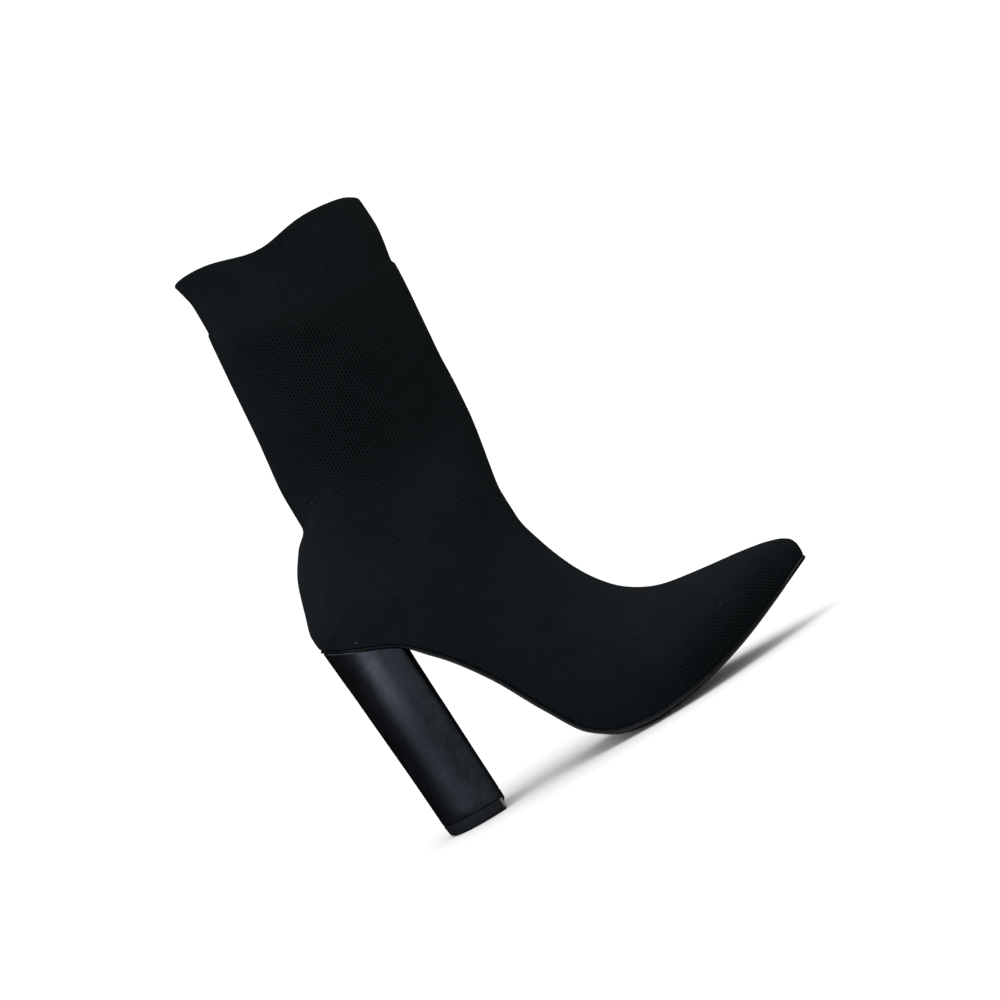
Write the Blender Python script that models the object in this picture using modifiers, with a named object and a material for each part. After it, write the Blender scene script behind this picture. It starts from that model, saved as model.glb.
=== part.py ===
# Knit sock boot on a tall block heel, made for the right foot, standing empty on its sole.
# X runs from heel to toe and Z runs up. The outer side of the foot lies at -Y.
# The origin is the centre of the heel's tread, on the ground.
# Sizes in the tables are millimetres, measured from the back of the heel counter and from the ground.
import math
from collections import namedtuple

import bmesh
import bpy
from mathutils import Vector

MM = 0.001
OBJECT_NAME = "sock_boot"

# Clear gap between pieces that meet
GAP = 0.3

# Points closer than this are one point; faces meeting at more than this many degrees show an edge
MERGE_DISTANCE = 0.02
SHARP_ANGLE = 40.0

# Middle of the heel's tread, from the back of the counter
ORIGIN_X = 23.4

# Knit wall of the shaft and foot, and of the doubled cuff
KNIT_WALL = 1.8
CUFF_WALL = 2.4

# Towards the toe tip the wall thins to this share of itself, over this length
TOE_WALL_SHARE = 0.45
TOE_THINNING = 13.0

# The upper turns in under the foot by this much, or by a share of the half width where that is less,
# and closes where the foot is narrower than the limit
LASTING_MARGIN = 9.0
MARGIN_SHARE = 0.6
CLOSED_BELOW = 10.0

# Outsole: thickness at its edge and under the heel seat, its reach past the upper, its inset at the seat
SOLE_EDGE = 2.2
SEAT_SHEET = 1.3
SOLE_REACH = 0.6
SEAT_INSET = 1.5
SEAT_FRONT_X = 36.0
SEAT_BLEND = 12.0

# The middle of the tread hangs this far below the sole's edge, and is cut flat at the ground
TREAD_BELLY = 3.1
TREAD_X = 120.0
TREAD_REACH_BACK = 34.0
TREAD_REACH_FRONT = 90.0
TREAD_FLAT_SHARE = 0.34
TREAD_SHOULDER_SHARE = 0.68
TREAD_SHOULDER_DROP = 0.72

# Insole board with its sock lining
INSOLE_THICK = 2.0
INSOLE_CLEAR = 0.6
INSOLE_TOE_X = 205.0
INSOLE_HEEL_X = 9.0
INSOLE_ROUND = 11.0
INSOLE_END_STEPS = (0.0, 1.0, 4.0)
INSOLE_END_CLEAR = 6.0

# Heel block and the rubber top piece under it
TIP_HEIGHT = 6.0
TIP_REACH = 0.3
GROOVE_INSET = 0.7
GROOVE_HALF = 0.5
TIP_BEVEL = 1.5
HEEL_WIDEST_SHARE = 0.68
HEEL_CORNER = 2.2
HEEL_CORNER_CUT = 0.3
HEEL_SIDE_TAPER = 0.8

# The breast is hollow in the middle, and by a share of that at a share of the half width
BREAST_HOLLOW = 1.0
BREAST_SHOULDER_HOLLOW = 0.75
BREAST_SHOULDER_AT = 0.45

# Slope of the seat where it meets the heel block
SEAT_SLOPE = 0.45

# Columns round half a section of the upper, below and above its widest place
LOW_STEPS = 6
HIGH_STEPS = 8
ROUND_HANDLE = 0.55

# From this half width on, the wall rises steeply from the sole; a closed back starts straight sideways
UPRIGHT_EDGE = 22.0
EDGE_TURN = 0.4
EDGE_LEAN = 0.5

# One row for each section of the upper, from the toe tip round under the arch and up the shaft.
# back_x, back_z: the section's lower end, on the seam with the sole and then on the back line
# front_x, front_z: its upper end, on the ridge of the foot and then on the front line
# edge_out, edge_in: half widths at the lower end, outer and inner side of the foot
# wide_out, wide_in: half widths where the section is widest
# rise: where it is widest, as a share of its length
# full, swell: how square it is at its ridge, and at its lower end
# middle: how far its middle lies towards the inner side; sag: how far its sides hang below a plane
# steps: how many finer sections follow before the next row
Section = namedtuple(
    "Section",
    "back_x back_z front_x front_z edge_out edge_in wide_out wide_in rise full swell middle sag steps",
)
SECTIONS = [
    # toe
    Section(220.5, 28.8, 220.6, 34.6, 0.0, 0.0, 0.0, 0.0, 0.42, 0.62, 0.33, 4.0, 0.0, 1),
    Section(219.5, 28.5, 219.7, 37.4, 2.4, 2.3, 2.8, 2.7, 0.42, 0.62, 0.33, 4.0, 0.0, 1),
    Section(216.7, 27.6, 216.8, 39.9, 4.6, 4.4, 5.5, 5.3, 0.42, 0.62, 0.33, 3.9, 0.0, 2),
    Section(209.5, 25.0, 210.0, 42.4, 8.4, 8.0, 9.8, 9.4, 0.40, 0.60, 0.33, 3.7, 0.0, 2),
    Section(196.0, 20.1, 196.4, 45.1, 15.4, 14.6, 17.2, 16.4, 0.36, 0.58, 0.33, 3.0, 0.0, 2),
    # forefoot
    Section(176.0, 13.7, 176.0, 47.8, 24.8, 22.6, 27.4, 25.4, 0.31, 0.54, 0.33, 1.8, 0.0, 2),
    Section(156.0, 8.9, 156.0, 51.3, 31.8, 30.2, 35.4, 34.2, 0.28, 0.50, 0.33, 0.8, 0.0, 2),
    Section(138.0, 6.3, 141.0, 58.8, 35.2, 33.6, 38.8, 37.2, 0.28, 0.48, 0.33, 0.2, 0.0, 2),
    Section(122.0, 4.7, 131.0, 69.4, 34.2, 31.0, 38.0, 35.4, 0.29, 0.46, 0.33, 0.0, 0.0, 2),
    Section(106.0, 6.2, 122.9, 83.5, 30.4, 26.0, 34.6, 31.8, 0.31, 0.45, 0.33, 0.0, 0.0, 2),
    # arch and instep
    Section(92.0, 13.8, 117.3, 98.5, 27.0, 21.8, 32.0, 29.8, 0.33, 0.46, 0.33, 0.0, 0.0, 2),
    Section(80.0, 32.0, 113.6, 114.0, 25.0, 20.2, 30.8, 29.4, 0.34, 0.48, 0.33, 0.0, 0.0, 2),
    Section(66.0, 57.5, 113.3, 128.0, 24.2, 20.8, 30.6, 30.0, 0.34, 0.50, 0.33, 0.0, 0.0, 2),
    Section(50.0, 79.0, 115.2, 141.5, 24.4, 22.4, 31.0, 30.6, 0.34, 0.52, 0.33, 0.0, 0.0, 2),
    # heel seat
    Section(34.0, 93.2, 117.2, 152.0, 25.0, 24.4, 31.4, 31.2, 0.34, 0.54, 0.37, 0.0, 0.0, 2),
    Section(19.0, 99.9, 118.6, 160.0, 23.4, 23.2, 31.4, 31.2, 0.34, 0.55, 0.48, 0.0, 0.0, 2),
    Section(8.0, 104.8, 119.7, 167.5, 16.2, 16.2, 31.0, 31.0, 0.34, 0.55, 0.58, 0.0, 0.0, 2),
    Section(2.5, 107.2, 120.2, 173.0, 8.4, 8.4, 30.6, 30.6, 0.35, 0.55, 0.66, 0.0, 0.0, 1),
    # stiff counter, up to the notch at its top
    Section(0.8, 108.0, 120.6, 178.0, 0.0, 0.0, 30.4, 30.4, 0.35, 0.55, 0.70, 0.0, 0.0, 1),
    Section(0.2, 114.5, 121.0, 183.5, 0.0, 0.0, 30.2, 30.2, 0.36, 0.55, 0.64, 0.0, 0.0, 2),
    Section(3.4, 126.3, 121.3, 189.0, 0.0, 0.0, 30.2, 30.2, 0.38, 0.55, 0.58, 0.0, 0.0, 2),
    Section(8.6, 141.6, 121.6, 195.5, 0.0, 0.0, 30.2, 30.2, 0.40, 0.55, 0.55, 0.0, 0.0, 2),
    Section(16.0, 153.0, 122.1, 202.0, 0.0, 0.0, 30.2, 30.2, 0.42, 0.55, 0.55, 0.0, 0.0, 2),
    Section(23.3, 162.2, 122.8, 209.0, 0.0, 0.0, 30.2, 30.2, 0.44, 0.55, 0.55, 0.0, 0.0, 2),
    # shaft
    Section(23.3, 178.0, 123.7, 219.0, 0.0, 0.0, 30.2, 30.2, 0.46, 0.55, 0.55, 0.0, 0.0, 2),
    Section(26.7, 209.0, 125.0, 232.0, 0.0, 0.0, 30.0, 30.0, 0.48, 0.55, 0.55, 0.0, 1.0, 2),
    Section(29.4, 239.0, 125.7, 241.0, 0.0, 0.0, 29.6, 29.6, 0.48, 0.55, 0.55, 0.0, 3.5, 2),
    Section(31.9, 262.5, 125.9, 246.8, 0.0, 0.0, 29.2, 29.2, 0.48, 0.55, 0.55, 0.0, 7.5, 1),
    # cuff, stepped in at its foot and flaring to the rim
    Section(32.7, 264.0, 125.1, 249.4, 0.0, 0.0, 28.4, 28.4, 0.48, 0.55, 0.55, 0.0, 7.5, 2),
    Section(32.9, 277.5, 127.7, 268.0, 0.0, 0.0, 28.6, 28.6, 0.48, 0.55, 0.55, 0.0, 6.5, 2),
    Section(30.2, 291.3, 127.0, 284.3, 0.0, 0.0, 28.8, 28.8, 0.48, 0.55, 0.55, 0.0, 0.0, 1),
]
CUFF_ROW = 28

# The sides hang lowest a little in front of their middle
SAG_SKEW = 1.5

# The rim dips at each side: depth, place and reach as shares of the way from back to front
RIM_DIP = 6.5
RIM_DIP_AT = 0.45
RIM_DIP_REACH = 0.2

# One row for each level of the heel block: height as a share, back and front on the centre line, half width
HeelLevel = namedtuple("HeelLevel", "share back_x front_x half")
HEEL_LEVELS = [
    HeelLevel(0.00, 8.0, 38.8, 18.8),
    HeelLevel(0.25, 6.6, 38.1, 19.0),
    HeelLevel(0.50, 4.9, 37.4, 19.6),
    HeelLevel(0.75, 3.2, 36.6, 20.8),
    HeelLevel(0.90, 1.9, 36.1, 22.2),
    HeelLevel(1.00, 1.1, 35.9, 23.6),
]
HEEL_ROUND_STEPS = 8


def fade(value, start, end):
    # Smooth step from 0 at start to 1 at end
    share = min(max((value - start) / (end - start), 0.0), 1.0)
    return share * share * (3.0 - 2.0 * share)


def joint_slope(before, after):
    # Slope that keeps a curve through table values from overshooting them
    if before * after <= 0.0:
        return 0.0
    return 2.0 * before * after / (before + after)


def between(values, index, share):
    # Smooth value at a share of the way from one table value to the next
    start = values[index]
    end = values[index + 1]
    run = end - start
    before = start - values[index - 1] if index > 0 else run
    after = values[index + 2] - end if index + 2 < len(values) else run
    leave = joint_slope(before, run)
    arrive = joint_slope(run, after)
    square = share * share
    cube = square * share
    value = (2 * cube - 3 * square + 1) * start + (cube - 2 * square + share) * leave
    return value + (3 * square - 2 * cube) * end + (cube - square) * arrive


def fine_sections():
    # The table's sections with smooth ones between them; the cuff's step stays sharp
    columns = list(zip(*SECTIONS))
    fine = []
    cuff_start = 0
    for index, section in enumerate(SECTIONS[:-1]):
        if index == CUFF_ROW:
            cuff_start = len(fine)
        for step in range(section.steps):
            share = step / section.steps
            fine.append(Section(*[between(column, index, share) for column in columns]))
    fine.append(SECTIONS[-1])
    return fine, cuff_start


def bezier(start, leave, arrive, end, steps):
    points = []
    for step in range(steps + 1):
        t = step / steps
        weights = ((1 - t) ** 3, 3 * t * (1 - t) ** 2, 3 * t * t * (1 - t), t ** 3)
        points.append(tuple(
            sum(weight * point[axis] for weight, point in zip(weights, (start, leave, arrive, end)))
            for axis in (0, 1)
        ))
    return points


def half_section(section, side):
    # Points of one side as (along, across), from the lower end up to the ridge
    edge = section.edge_out if side < 0 else section.edge_in
    wide = section.wide_out if side < 0 else section.wide_in
    length = math.hypot(section.front_x - section.back_x, section.front_z - section.back_z)
    widest = section.rise * length
    turn = 1.0 - EDGE_TURN * min(1.0, edge / UPRIGHT_EDGE)
    low = bezier(
        (0.0, edge),
        ((1.0 - turn) * EDGE_LEAN * widest, edge + section.swell * (wide - edge)),
        (widest * (1.0 - ROUND_HANDLE), wide),
        (widest, wide),
        LOW_STEPS,
    )
    high = bezier(
        (widest, wide),
        (widest + ROUND_HANDLE * (length - widest), wide),
        (length, section.full * wide),
        (length, 0.0),
        HIGH_STEPS,
    )
    return low + high[1:], length


def place(x, y, z):
    return Vector(((x - ORIGIN_X) * MM, y * MM, z * MM))


def rim_dip(share):
    return RIM_DIP * math.exp(-((share - RIM_DIP_AT) / RIM_DIP_REACH) ** 2)


def section_point(section, along, across, length, at_rim):
    share = along / length
    x = section.back_x + share * (section.front_x - section.back_x)
    z = section.back_z + share * (section.front_z - section.back_z)
    z -= section.sag * math.sin(math.pi * share ** SAG_SKEW)
    if at_rim:
        z -= rim_dip(share)
    return place(x, section.middle + across, z)


def margin_half(edge):
    # Half width of the opening left between the turned-in margins
    if edge < CLOSED_BELOW:
        return 0.0
    return edge - min(LASTING_MARGIN, MARGIN_SHARE * edge)


def section_loop(section, at_rim):
    # A whole section from the outer side's margin over the ridge to the inner side's margin
    outer, length = half_section(section, -1)
    inner, length = half_section(section, 1)
    loop = [section_point(section, 0.0, -margin_half(section.edge_out), length, False)]
    loop += [section_point(section, along, -across, length, at_rim) for along, across in outer]
    loop += [section_point(section, along, across, length, at_rim) for along, across in inner[-2::-1]]
    loop.append(section_point(section, 0.0, margin_half(section.edge_in), length, False))
    return loop


def loft(shape, rows, closed=False):
    # Faces between neighbouring rows of equally many points; closed rows form a tube
    grid = [[shape.verts.new(point) for point in row] for row in rows]
    count = len(rows[0])
    for first, second in zip(grid, grid[1:]):
        for column in range(count if closed else count - 1):
            following = (column + 1) % count
            shape.faces.new((first[column], first[following], second[following], second[column]))
    return grid


def tidy(shape):
    # Joins the points that meet on the centre line
    bmesh.ops.remove_doubles(shape, verts=shape.verts, dist=MERGE_DISTANCE * MM)
    bmesh.ops.dissolve_degenerate(shape, edges=shape.edges, dist=MERGE_DISTANCE * MM)


def material(name, colour, roughness):
    made = bpy.data.materials.new(name)
    made.use_nodes = True
    shader = made.node_tree.nodes["Principled BSDF"]
    shader.inputs["Base Color"].default_value = (*colour, 1.0)
    shader.inputs["Roughness"].default_value = roughness
    shader.inputs["Metallic"].default_value = 0.0
    made.diffuse_color = (*colour, 1.0)
    return made


def add_object(name, shape, looks, collection, parent):
    mesh = bpy.data.meshes.new(name)
    shape.to_mesh(mesh)
    shape.free()
    mesh.shade_smooth()
    mesh.set_sharp_from_angle(angle=math.radians(SHARP_ANGLE))
    mesh.materials.append(looks)
    made = bpy.data.objects.new(name, mesh)
    made.parent = parent
    collection.objects.link(made)
    return made


def knit_wall(x):
    near_tip = 1.0 - fade(SECTIONS[0].back_x - x, 0.0, TOE_THINNING)
    return KNIT_WALL * (1.0 - (1.0 - TOE_WALL_SHARE) * near_tip)


def make_upper(fine, cuff_start, collection, parent):
    # Knit shell, open at the rim and, inside the turned-in margin, under the foot
    rows = [section_loop(section, section is fine[-1]) for section in fine]
    shape = bmesh.new()
    loft(shape, rows)
    layer = shape.verts.layers.deform.verify()
    shape.verts.index_update()
    for vertex in shape.verts:
        index = vertex.index // len(rows[0])
        wall = CUFF_WALL if index >= cuff_start else knit_wall(fine[index].back_x)
        vertex[layer][0] = wall / CUFF_WALL
    tidy(shape)
    looks = material("knit", (0.007, 0.009, 0.011), 0.85)
    upper = add_object("upper", shape, looks, collection, parent)
    upper.vertex_groups.new(name="wall")
    wall = upper.modifiers.new("wall", "SOLIDIFY")
    wall.thickness = CUFF_WALL * MM
    wall.offset = -1.0
    wall.use_even_offset = True
    wall.use_rim = True
    wall.vertex_group = "wall"
    return upper


def foot_line(fine):
    # The sections that carry the sole, from the toe tip to the back of the heel seat
    foot = []
    for section in fine:
        foot.append(section)
        if len(foot) > 1 and section.edge_out <= 0.0:
            return foot
    return foot


def line_normals(foot):
    # Unit vectors square to the seam line, pointing up into the foot
    normals = []
    for index in range(len(foot)):
        before = foot[max(index - 1, 0)]
        after = foot[min(index + 1, len(foot) - 1)]
        run_x = before.back_x - after.back_x
        run_z = before.back_z - after.back_z
        length = math.hypot(run_x, run_z)
        normals.append((-run_z / length, run_x / length))
    return normals


def sole_reach(x):
    return SOLE_REACH - (SOLE_REACH + SEAT_INSET) * (1.0 - fade(x, SEAT_FRONT_X, SEAT_FRONT_X + SEAT_BLEND))


def sole_thickness(x):
    return SOLE_EDGE - (SOLE_EDGE - SEAT_SHEET) * (1.0 - fade(x, SEAT_FRONT_X, SEAT_FRONT_X + SEAT_BLEND))


def tread_belly(x):
    reach = TREAD_REACH_FRONT if x > TREAD_X else TREAD_REACH_BACK
    return TREAD_BELLY * max(0.0, 1.0 - ((x - TREAD_X) / reach) ** 2)


def sole_stations(foot):
    # Middle points of the sole's top and bottom edge at each section, with its half widths
    stations = []
    last = len(foot) - 1
    for index, (section, normal) in enumerate(zip(foot, line_normals(foot))):
        x = section.back_x
        reach = sole_reach(x)
        out = max(section.edge_out + reach, 0.0)
        inner = max(section.edge_in + reach, 0.0)
        if index in (0, last):
            # The ends have no width, and reach past the upper along the line instead
            out = inner = 0.0
            forward = reach if index == 0 else -reach
            x += forward * normal[1]
        shift = x - section.back_x
        z = section.back_z - shift * normal[0] / normal[1]
        thick = sole_thickness(section.back_x)
        top = (x - GAP * normal[0], z - GAP * normal[1])
        bottom = (top[0] - thick * normal[0], top[1] - thick * normal[1])
        stations.append((top, bottom, section.middle, out, inner))
    return stations


def sole_row(station):
    # One closed ring across the sole, its bottom bellied and cut flat at the ground
    top, bottom, middle, out, inner = station
    belly = tread_belly(bottom[0])
    shares = (-1.0, -TREAD_SHOULDER_SHARE, -TREAD_FLAT_SHARE, TREAD_FLAT_SHARE, TREAD_SHOULDER_SHARE, 1.0)
    drops = (0.0, TREAD_SHOULDER_DROP, 1.0, 1.0, TREAD_SHOULDER_DROP, 0.0)
    ring = []
    for share, drop in zip(shares, drops):
        half = out if share < 0 else inner
        ring.append(place(bottom[0], middle + share * half, max(bottom[1] - drop * belly, 0.0)))
    for share in shares[::-1]:
        half = out if share < 0 else inner
        ring.append(place(top[0], middle + share * half, top[1]))
    return ring


def make_outsole(foot, collection, parent):
    rows = [sole_row(station) for station in sole_stations(foot)]
    shape = bmesh.new()
    loft(shape, rows, closed=True)
    tidy(shape)
    bmesh.ops.recalc_face_normals(shape, faces=shape.faces)
    looks = material("sole_rubber", (0.010, 0.011, 0.012), 0.6)
    return add_object("outsole", shape, looks, collection, parent)


def insole_row(section, normal):
    # One ring across the insole, which lies on the turned-in margin clear of the wall
    x = section.back_x
    from_end = min(INSOLE_TOE_X - x, x - INSOLE_HEEL_X)
    share = min(max(from_end / INSOLE_ROUND, 0.0), 1.0)
    rounding = math.sqrt(1.0 - (1.0 - share) ** 2)
    inset = KNIT_WALL + INSOLE_CLEAR
    out = (section.edge_out - inset) * rounding
    inner = (section.edge_in - inset) * rounding
    low = KNIT_WALL + GAP
    ring = []
    for height, sides in ((low, (-1.0, -0.5, 0.5, 1.0)), (low + INSOLE_THICK, (1.0, 0.5, -0.5, -1.0))):
        for side in sides:
            half = out if side < 0 else inner
            ring.append(place(
                x + height * normal[0], section.middle + side * half, section.back_z + height * normal[1]))
    return ring


def foot_section_at(foot, x):
    # The foot's section at a place between two of its sections
    for first, second in zip(foot, foot[1:]):
        if second.back_x <= x <= first.back_x:
            share = (first.back_x - x) / (first.back_x - second.back_x)
            return Section(*[a + share * (b - a) for a, b in zip(first, second)])
    return foot[-1]


def make_insole(foot, collection, parent):
    first = INSOLE_TOE_X - INSOLE_END_CLEAR
    last = INSOLE_HEEL_X + INSOLE_END_CLEAR
    places = [INSOLE_TOE_X - step for step in INSOLE_END_STEPS]
    places += [section.back_x for section in foot if last < section.back_x < first]
    places += [INSOLE_HEEL_X + step for step in INSOLE_END_STEPS[::-1]]
    sections = [foot_section_at(foot, x) for x in places]
    rows = [insole_row(section, normal) for section, normal in zip(sections, line_normals(sections))]
    shape = bmesh.new()
    loft(shape, rows, closed=True)
    tidy(shape)
    bmesh.ops.recalc_face_normals(shape, faces=shape.faces)
    looks = material("lining", (0.02, 0.02, 0.022), 0.9)
    return add_object("insole", shape, looks, collection, parent)


def seat_height(stations, x):
    # Height of the sole's underside over the heel, at a place along it
    for first, second in zip(stations, stations[1:]):
        front = first[1]
        back = second[1]
        if back[0] <= x <= front[0]:
            return back[1] + (x - back[0]) / (front[0] - back[0]) * (front[1] - back[1])
    low, high = stations[-2][1], stations[-1][1]
    return high[1] + (x - high[0]) / (low[0] - high[0]) * (low[1] - high[1])


def heel_outline(back_x, front_x, half, grow=0.0):
    # The heel's D-shaped plan: round back, nearly straight sides, small corners and a hollow breast.
    # It starts at the back, goes round the outer side to the breast and returns on the inner side.
    back_x -= grow
    front_x += grow
    half += grow
    widest_x = back_x + HEEL_WIDEST_SHARE * (front_x - back_x)
    side = []
    for step in range(HEEL_ROUND_STEPS + 1):
        angle = 0.5 * math.pi * step / HEEL_ROUND_STEPS
        side.append((widest_x - (widest_x - back_x) * math.cos(angle), half * math.sin(angle)))
    corner_half = half - HEEL_SIDE_TAPER
    side.append((front_x - HEEL_CORNER, corner_half))
    side.append((front_x - HEEL_CORNER_CUT * HEEL_CORNER, corner_half - HEEL_CORNER_CUT * HEEL_CORNER))
    side.append((front_x, corner_half - HEEL_CORNER))
    side.append((front_x - BREAST_SHOULDER_HOLLOW * BREAST_HOLLOW, BREAST_SHOULDER_AT * half))
    outer = [(x, -y) for x, y in side]
    inner = [(x, y) for x, y in side[1:]]
    return outer + [(front_x - BREAST_HOLLOW, 0.0)] + inner[::-1]


def heel_cap(shape, row, flip):
    # Strips across the heel, from its back point to the middle of the breast
    count = len(row)
    middle = count // 2
    for index in range(middle):
        corners = [row[index], row[index + 1], row[(count - index - 1) % count], row[(count - index) % count]]
        corners = list(dict.fromkeys(corners))
        shape.faces.new(corners[::-1] if flip else corners)


def make_heel(stations, collection, parent):
    bottom_z = TIP_HEIGHT + 0.5 * GAP
    rows = []
    groove = HEEL_LEVELS[0]
    rows.append([
        place(x, y, bottom_z)
        for x, y in heel_outline(groove.back_x, groove.front_x, groove.half, -GROOVE_INSET)
    ])
    for level in HEEL_LEVELS:
        row = []
        for x, y in heel_outline(level.back_x, level.front_x, level.half):
            low = bottom_z + GROOVE_HALF
            high = seat_height(stations, x) - GAP / math.cos(math.atan(SEAT_SLOPE))
            row.append(place(x, y, low + level.share * (high - low)))
        rows.append(row)
    shape = bmesh.new()
    grid = loft(shape, rows, closed=True)
    heel_cap(shape, grid[0], False)
    heel_cap(shape, grid[-1], True)
    bmesh.ops.recalc_face_normals(shape, faces=shape.faces)
    looks = material("heel_cover", (0.012, 0.013, 0.015), 0.35)
    return add_object("heel", shape, looks, collection, parent)


def make_heel_tip(collection, parent):
    level = HEEL_LEVELS[0]
    top_z = TIP_HEIGHT - 0.5 * GAP
    heights = (
        (0.0, TIP_REACH - TIP_BEVEL),
        (TIP_BEVEL, TIP_REACH),
        (top_z - GROOVE_HALF, TIP_REACH),
        (top_z, -GROOVE_INSET),
    )
    rows = [
        [place(x, y, z) for x, y in heel_outline(level.back_x, level.front_x, level.half, grow)]
        for z, grow in heights
    ]
    shape = bmesh.new()
    grid = loft(shape, rows, closed=True)
    heel_cap(shape, grid[0], False)
    heel_cap(shape, grid[-1], True)
    bmesh.ops.recalc_face_normals(shape, faces=shape.faces)
    looks = material("tip_rubber", (0.014, 0.014, 0.014), 0.7)
    return add_object("heel_tip", shape, looks, collection, parent)


def main():
    for old in list(bpy.data.objects):
        bpy.data.objects.remove(old, do_unlink=True)
    collection = bpy.data.collections.new(OBJECT_NAME)
    bpy.context.scene.collection.children.link(collection)
    parent = bpy.data.objects.new("boot", None)
    collection.objects.link(parent)

    fine, cuff_start = fine_sections()
    foot = foot_line(fine)
    stations = sole_stations(foot)
    make_upper(fine, cuff_start, collection, parent)
    make_outsole(foot, collection, parent)
    make_insole(foot, collection, parent)
    make_heel(stations, collection, parent)
    make_heel_tip(collection, parent)


main()
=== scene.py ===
import math
from collections import namedtuple

import bmesh
import bpy
from mathutils import Matrix, Vector, noise


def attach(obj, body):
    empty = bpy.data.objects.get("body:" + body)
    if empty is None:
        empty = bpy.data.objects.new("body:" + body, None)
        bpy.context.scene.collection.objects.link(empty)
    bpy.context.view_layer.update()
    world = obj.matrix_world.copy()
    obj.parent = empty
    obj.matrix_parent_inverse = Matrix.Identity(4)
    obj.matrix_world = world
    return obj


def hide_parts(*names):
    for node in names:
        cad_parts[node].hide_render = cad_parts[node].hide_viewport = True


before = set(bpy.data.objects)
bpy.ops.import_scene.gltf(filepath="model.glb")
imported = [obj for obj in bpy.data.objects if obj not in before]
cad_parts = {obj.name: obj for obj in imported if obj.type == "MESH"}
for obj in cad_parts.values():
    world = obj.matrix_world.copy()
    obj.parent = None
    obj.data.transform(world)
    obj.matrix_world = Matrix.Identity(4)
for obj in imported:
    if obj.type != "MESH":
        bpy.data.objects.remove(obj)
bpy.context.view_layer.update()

mm = 0.001
originX = 23.4  # middle of the heel's tread, in mm from the back of the heel counter
gap = 0.3  # clear gap between pieces that meet, in mm


def spot(x, y, z):
    # Sizes below are millimetres, from the back of the counter and from the ground
    return Vector(((x - originX) * mm, y * mm, z * mm))


def smoothStep(value, start, end):
    share = min(max((value - start) / (end - start), 0.0), 1.0)
    return share * share * (3.0 - 2.0 * share)


def hump(value, middle, reach):
    return math.exp(-((value - middle) / reach) ** 2)


# The last and shaft, one row for each section, as in the solid upper but for a softer step at the cuff's foot:
# its lower end (back) and upper end (front) seen from the side, half widths at the lower end and where
# it is widest, where that is, how square it is above and below, its shift inwards, how far its sides hang,
# and how many steps follow before the next row
Section = namedtuple(
    "Section",
    "backX backZ frontX frontZ edgeOut edgeIn wideOut wideIn rise full swell middle sag steps",
)
footRows = [  # without the sides' hang
    # toe
    (220.5, 28.8, 220.6, 34.6, 0.0, 0.0, 0.0, 0.0, 0.42, 0.62, 0.33, 4.0, 1),
    (219.5, 28.5, 219.7, 37.4, 2.4, 2.3, 2.8, 2.7, 0.42, 0.62, 0.33, 4.0, 1),
    (216.7, 27.6, 216.8, 39.9, 4.6, 4.4, 5.5, 5.3, 0.42, 0.62, 0.33, 3.9, 2),
    (209.5, 25.0, 210.0, 42.4, 8.4, 8.0, 9.8, 9.4, 0.40, 0.60, 0.33, 3.7, 2),
    (196.0, 20.1, 196.4, 45.1, 15.4, 14.6, 17.2, 16.4, 0.36, 0.58, 0.33, 3.0, 2),
    # forefoot
    (176.0, 13.7, 176.0, 47.8, 24.8, 22.6, 27.4, 25.4, 0.31, 0.54, 0.33, 1.8, 2),
    (156.0, 8.9, 156.0, 51.3, 31.8, 30.2, 35.4, 34.2, 0.28, 0.50, 0.33, 0.8, 2),
    (138.0, 6.3, 141.0, 58.8, 35.2, 33.6, 38.8, 37.2, 0.28, 0.48, 0.33, 0.2, 2),
    (122.0, 4.7, 131.0, 69.4, 34.2, 31.0, 38.0, 35.4, 0.29, 0.46, 0.33, 0.0, 2),
    (106.0, 6.2, 122.9, 83.5, 30.4, 26.0, 34.6, 31.8, 0.31, 0.45, 0.33, 0.0, 2),
    # arch and instep
    (92.0, 13.8, 117.3, 98.5, 27.0, 21.8, 32.0, 29.8, 0.33, 0.46, 0.33, 0.0, 2),
    (80.0, 32.0, 113.6, 114.0, 25.0, 20.2, 30.8, 29.4, 0.34, 0.48, 0.33, 0.0, 2),
    (66.0, 57.5, 113.3, 128.0, 24.2, 20.8, 30.6, 30.0, 0.34, 0.50, 0.33, 0.0, 2),
    (50.0, 79.0, 115.2, 141.5, 24.4, 22.4, 31.0, 30.6, 0.34, 0.52, 0.33, 0.0, 2),
    # heel seat
    (34.0, 93.2, 117.2, 152.0, 25.0, 24.4, 31.4, 31.2, 0.34, 0.54, 0.37, 0.0, 2),
    (19.0, 99.9, 118.6, 160.0, 23.4, 23.2, 31.4, 31.2, 0.34, 0.55, 0.48, 0.0, 2),
    (8.0, 104.8, 119.7, 167.5, 16.2, 16.2, 31.0, 31.0, 0.34, 0.55, 0.58, 0.0, 2),
    (2.5, 107.2, 120.2, 173.0, 8.4, 8.4, 30.6, 30.6, 0.35, 0.55, 0.66, 0.0, 1),
]
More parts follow.
